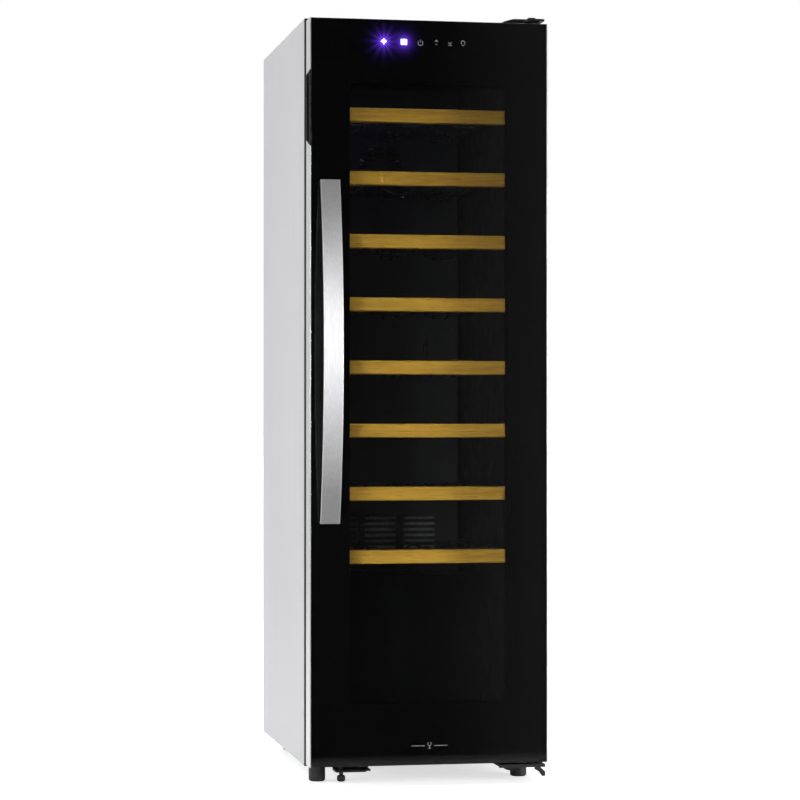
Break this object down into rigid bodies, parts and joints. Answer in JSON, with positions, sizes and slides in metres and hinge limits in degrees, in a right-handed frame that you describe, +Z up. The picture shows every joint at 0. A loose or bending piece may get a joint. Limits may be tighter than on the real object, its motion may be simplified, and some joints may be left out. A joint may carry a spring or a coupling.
{
  "type": "wine cooler",
  "caption": "Tall narrow wine cooler with a hinged double-glazed door, wooden-fronted sliding wire shelves and a rear compressor.",
  "frame": {"origin": "centre of the footprint, on the floor under the feet", "axes": "+Z up along the cabinet, -Y towards the user in front of the door, +X to the right seen from the front, the side of the hinge"},
  "size_m": [0.345, 0.553, 1.1046],
  "materials": {
    "cabinet_paint": "satin",
    "galvanised_steel": "satin",
    "black_steel": "satin",
    "liner_plastic": "satin",
    "foam": "matte",
    "duct_plastic": "satin",
    "evaporator_aluminium": "satin",
    "fan_plastic": "satin",
    "led_lens": "gloss",
    "beech": "satin",
    "rack_wire": "satin",
    "clear_glass": "polished",
    "black_print": "gloss",
    "spacer_bar": "satin",
    "door_plastic": "satin",
    "bright_trim": "polished",
    "grip_plastic": "gloss",
    "gasket_rubber": "matte",
    "handle_steel": "satin",
    "board": "satin",
    "bush_plastic": "matte",
    "bracket_steel": "satin",
    "foot_plastic": "matte",
    "compressor_paint": "gloss",
    "mount_rubber": "matte",
    "relay_plastic": "matte",
    "tray_plastic": "matte",
    "condenser_paint": "satin",
    "clip_plastic": "matte",
    "copper": "polished",
    "box_plastic": "matte",
    "gland_plastic": "matte"
  },
  "bodies": {
    "cabinet": {"side_panel_left": "cabinet_paint", "side_panel_right": "cabinet_paint", "top_panel": "cabinet_paint", "back_panel": "galvanised_steel", "base_pan": "galvanised_steel", "machine_bay_wall": "galvanised_steel", "front_frame": "black_steel", "inner_liner": "liner_plastic", "foam_insulation": "foam", "shelf_rails": "liner_plastic", "air_duct_panel": "duct_plastic", "evaporator_plate": "evaporator_aluminium", "fan_frame": "fan_plastic", "led_strip": "led_lens", "top_hinge_bracket": "bracket_steel", "top_hinge_cover": "door_plastic", "bottom_hinge_bracket": "bracket_steel", "left_support_bracket": "bracket_steel", "rear_feet": "foot_plastic", "compressor": "compressor_paint", "compressor_mounts": "mount_rubber", "relay_cover": "relay_plastic", "drip_tray": "tray_plastic", "condenser": "condenser_paint", "condenser_clips": "clip_plastic", "filter_drier": "copper", "refrigerant_pipes": "copper", "control_box": "box_plastic", "cord_gland": "gland_plastic"},
    "door": {"door_glass_outer": "clear_glass", "border_mask": "black_print", "glass_spacer": "spacer_bar", "door_glass_inner": "clear_glass", "door_frame": "door_plastic", "edge_trims": "bright_trim", "grip_cup": "grip_plastic", "door_gasket": "gasket_rubber", "handle_bar": "handle_steel", "handle_posts": "handle_steel", "touch_board": "board", "door_bushes": "bush_plastic"},
    "shelf_1": {"shelf_front_1": "beech", "shelf_rack_1": "rack_wire"},
    "shelf_2": {"shelf_front_2": "beech", "shelf_rack_2": "rack_wire"},
    "shelf_3": {"shelf_front_3": "beech", "shelf_rack_3": "rack_wire"},
    "shelf_4": {"shelf_front_4": "beech", "shelf_rack_4": "rack_wire"},
    "shelf_5": {"shelf_front_5": "beech", "shelf_rack_5": "rack_wire"},
    "shelf_6": {"shelf_front_6": "beech", "shelf_rack_6": "rack_wire"},
    "shelf_7": {"shelf_front_7": "beech", "shelf_rack_7": "rack_wire"},
    "shelf_8": {"shelf_front_8": "beech", "shelf_rack_8": "rack_wire"},
    "fan": {"fan_rotor": "fan_plastic"},
    "left_foot": {"foot_front_left": "foot_plastic"},
    "right_foot": {"foot_front_right": "foot_plastic"}
  },
  "joints": [
    {"name": "door_hinge", "type": "hinge", "parent": "cabinet", "child": "door", "pos_m": [0.165, -0.2085, 0.56], "axis": [0, 0, 1], "range_deg": [0, 120]},
    {"name": "shelf_slide_1", "type": "slide", "parent": "cabinet", "child": "shelf_1", "axis": [0, -1, 0], "range_m": [0, 0.12566]},
    {"name": "shelf_slide_2", "type": "slide", "parent": "cabinet", "child": "shelf_2", "axis": [0, -1, 0], "range_m": [0, 0.12566]},
    {"name": "shelf_slide_3", "type": "slide", "parent": "cabinet", "child": "shelf_3", "axis": [0, -1, 0], "range_m": [0, 0.12566]},
    {"name": "shelf_slide_4", "type": "slide", "parent": "cabinet", "child": "shelf_4", "axis": [0, -1, 0], "range_m": [0, 0.12566]},
    {"name": "shelf_slide_5", "type": "slide", "parent": "cabinet", "child": "shelf_5", "axis": [0, -1, 0], "range_m": [0, 0.12566]},
    {"name": "shelf_slide_6", "type": "slide", "parent": "cabinet", "child": "shelf_6", "axis": [0, -1, 0], "range_m": [0, 0.12566]},
    {"name": "shelf_slide_7", "type": "slide", "parent": "cabinet", "child": "shelf_7", "axis": [0, -1, 0], "range_m": [0, 0.12566]},
    {"name": "shelf_slide_8", "type": "slide", "parent": "cabinet", "child": "shelf_8", "axis": [0, -1, 0], "range_m": [0, 0.12566]},
    {"name": "fan_spin", "type": "hinge", "parent": "cabinet", "child": "fan", "pos_m": [0, 0.1715, 0.92], "axis": [0, 1, 0], "continuous": true},
    {"name": "left_foot_screw", "type": "slide", "parent": "cabinet", "child": "left_foot", "axis": [0, 0, -1], "range_m": [0, 0.012]},
    {"name": "right_foot_screw", "type": "slide", "parent": "cabinet", "child": "right_foot", "axis": [0, 0, -1], "range_m": [0, 0.012]}
  ],
  "couplings": [
    {"joint": "shelf_slide_1", "follows": "door_hinge", "m_per_rad": 0.06},
    {"joint": "shelf_slide_2", "follows": "door_hinge", "m_per_rad": 0.06},
    {"joint": "shelf_slide_3", "follows": "door_hinge", "m_per_rad": 0.06},
    {"joint": "shelf_slide_4", "follows": "door_hinge", "m_per_rad": 0.06},
    {"joint": "shelf_slide_5", "follows": "door_hinge", "m_per_rad": 0.06},
    {"joint": "shelf_slide_6", "follows": "door_hinge", "m_per_rad": 0.06},
    {"joint": "shelf_slide_7", "follows": "door_hinge", "m_per_rad": 0.06},
    {"joint": "shelf_slide_8", "follows": "door_hinge", "m_per_rad": 0.06}
  ]
}
